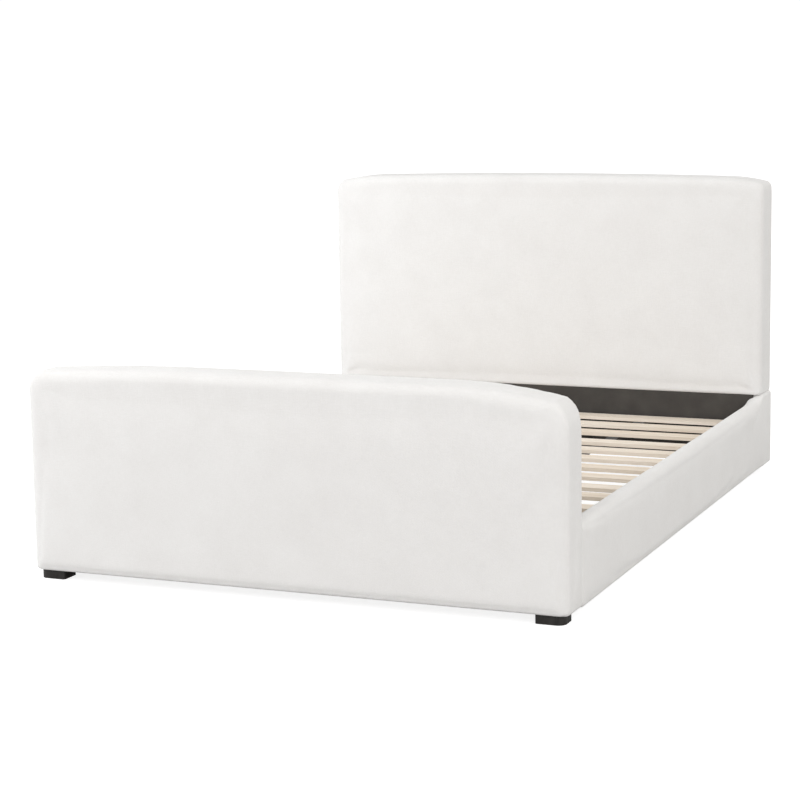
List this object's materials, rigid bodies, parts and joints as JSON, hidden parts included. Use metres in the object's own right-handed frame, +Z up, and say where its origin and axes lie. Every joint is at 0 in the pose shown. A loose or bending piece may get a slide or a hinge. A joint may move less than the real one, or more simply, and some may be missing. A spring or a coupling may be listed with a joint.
{
  "type": "upholstered bed",
  "caption": "Queen-size bed frame with a padded headboard, a padded footboard with drooping shoulders, padded side rails, loose pine slats and small black feet.",
  "frame": {"origin": "on the floor under the middle of the bed", "axes": "+Z up, +Y towards the head of the bed, +X to the right as seen from the foot"},
  "size_m": [1.66, 2.328, 1.074],
  "materials": {
    "cover_fabric": "fine woven, matte",
    "lining_fabric": "non-woven, matte",
    "frame_timber": "sawn",
    "board": "plywood, sanded",
    "slat_wood": "planed pine",
    "foot_block": "moulded",
    "glide_plastic": "moulded",
    "bracket_steel": "powder coat",
    "fastener_steel": "zinc",
    "webbing": "woven tape"
  },
  "bodies": {
    "bed_frame": {"headboard_pad": "cover_fabric", "headboard_face_board": "board", "headboard_post_left": "frame_timber", "headboard_post_right": "frame_timber", "headboard_top_rail": "frame_timber", "headboard_middle_rail": "frame_timber", "headboard_apron": "board", "headboard_back_panel": "cover_fabric", "headboard_lining": "lining_fabric", "rear_foot_left": "foot_block", "rear_foot_right": "foot_block", "footboard_pad": "cover_fabric", "footboard_face_board": "board", "footboard_post_left": "frame_timber", "footboard_post_right": "frame_timber", "footboard_top_rail": "frame_timber", "footboard_lower_rail": "frame_timber", "footboard_back_panel": "cover_fabric", "footboard_lining": "lining_fabric", "front_foot_left": "foot_block", "front_foot_right": "foot_block", "rail_core_left": "frame_timber", "rail_core_right": "frame_timber", "rail_pad_left": "cover_fabric", "rail_pad_right": "cover_fabric", "slat_cleat_left": "frame_timber", "slat_cleat_right": "frame_timber", "corner_brackets": "bracket_steel", "bracket_bolts": "fastener_steel", "bracket_washers": "fastener_steel", "bracket_inserts": "fastener_steel", "bracket_screws": "fastener_steel", "cleat_screws": "fastener_steel", "centre_beam": "frame_timber", "beam_hangers": "bracket_steel", "centre_leg_head": "frame_timber", "centre_leg_middle": "frame_timber", "centre_leg_foot": "frame_timber", "leg_bolts": "fastener_steel", "leg_inserts": "fastener_steel"},
    "slat_deck": {"slat_01": "slat_wood", "slat_02": "slat_wood", "slat_03": "slat_wood", "slat_04": "slat_wood", "slat_05": "slat_wood", "slat_06": "slat_wood", "slat_07": "slat_wood", "slat_08": "slat_wood", "slat_09": "slat_wood", "slat_10": "slat_wood", "slat_11": "slat_wood", "slat_12": "slat_wood", "slat_13": "slat_wood", "slat_14": "slat_wood", "webbing_left": "webbing", "webbing_right": "webbing", "webbing_staples": "fastener_steel"},
    "glide_head_body": {"glide_head": "glide_plastic"},
    "glide_middle_body": {"glide_middle": "glide_plastic"},
    "glide_foot_body": {"glide_foot": "glide_plastic"}
  },
  "joints": [
    {"name": "slat_deck_lift", "type": "slide", "parent": "bed_frame", "child": "slat_deck", "axis": [0, 0, 1], "range_m": [0, 0.5]},
    {"name": "glide_head_screw", "type": "slide", "parent": "bed_frame", "child": "glide_head_body", "axis": [0, 0, -1], "range_m": [0, 0.015]},
    {"name": "glide_middle_screw", "type": "slide", "parent": "bed_frame", "child": "glide_middle_body", "axis": [0, 0, -1], "range_m": [0, 0.015]},
    {"name": "glide_foot_screw", "type": "slide", "parent": "bed_frame", "child": "glide_foot_body", "axis": [0, 0, -1], "range_m": [0, 0.015]}
  ]
}
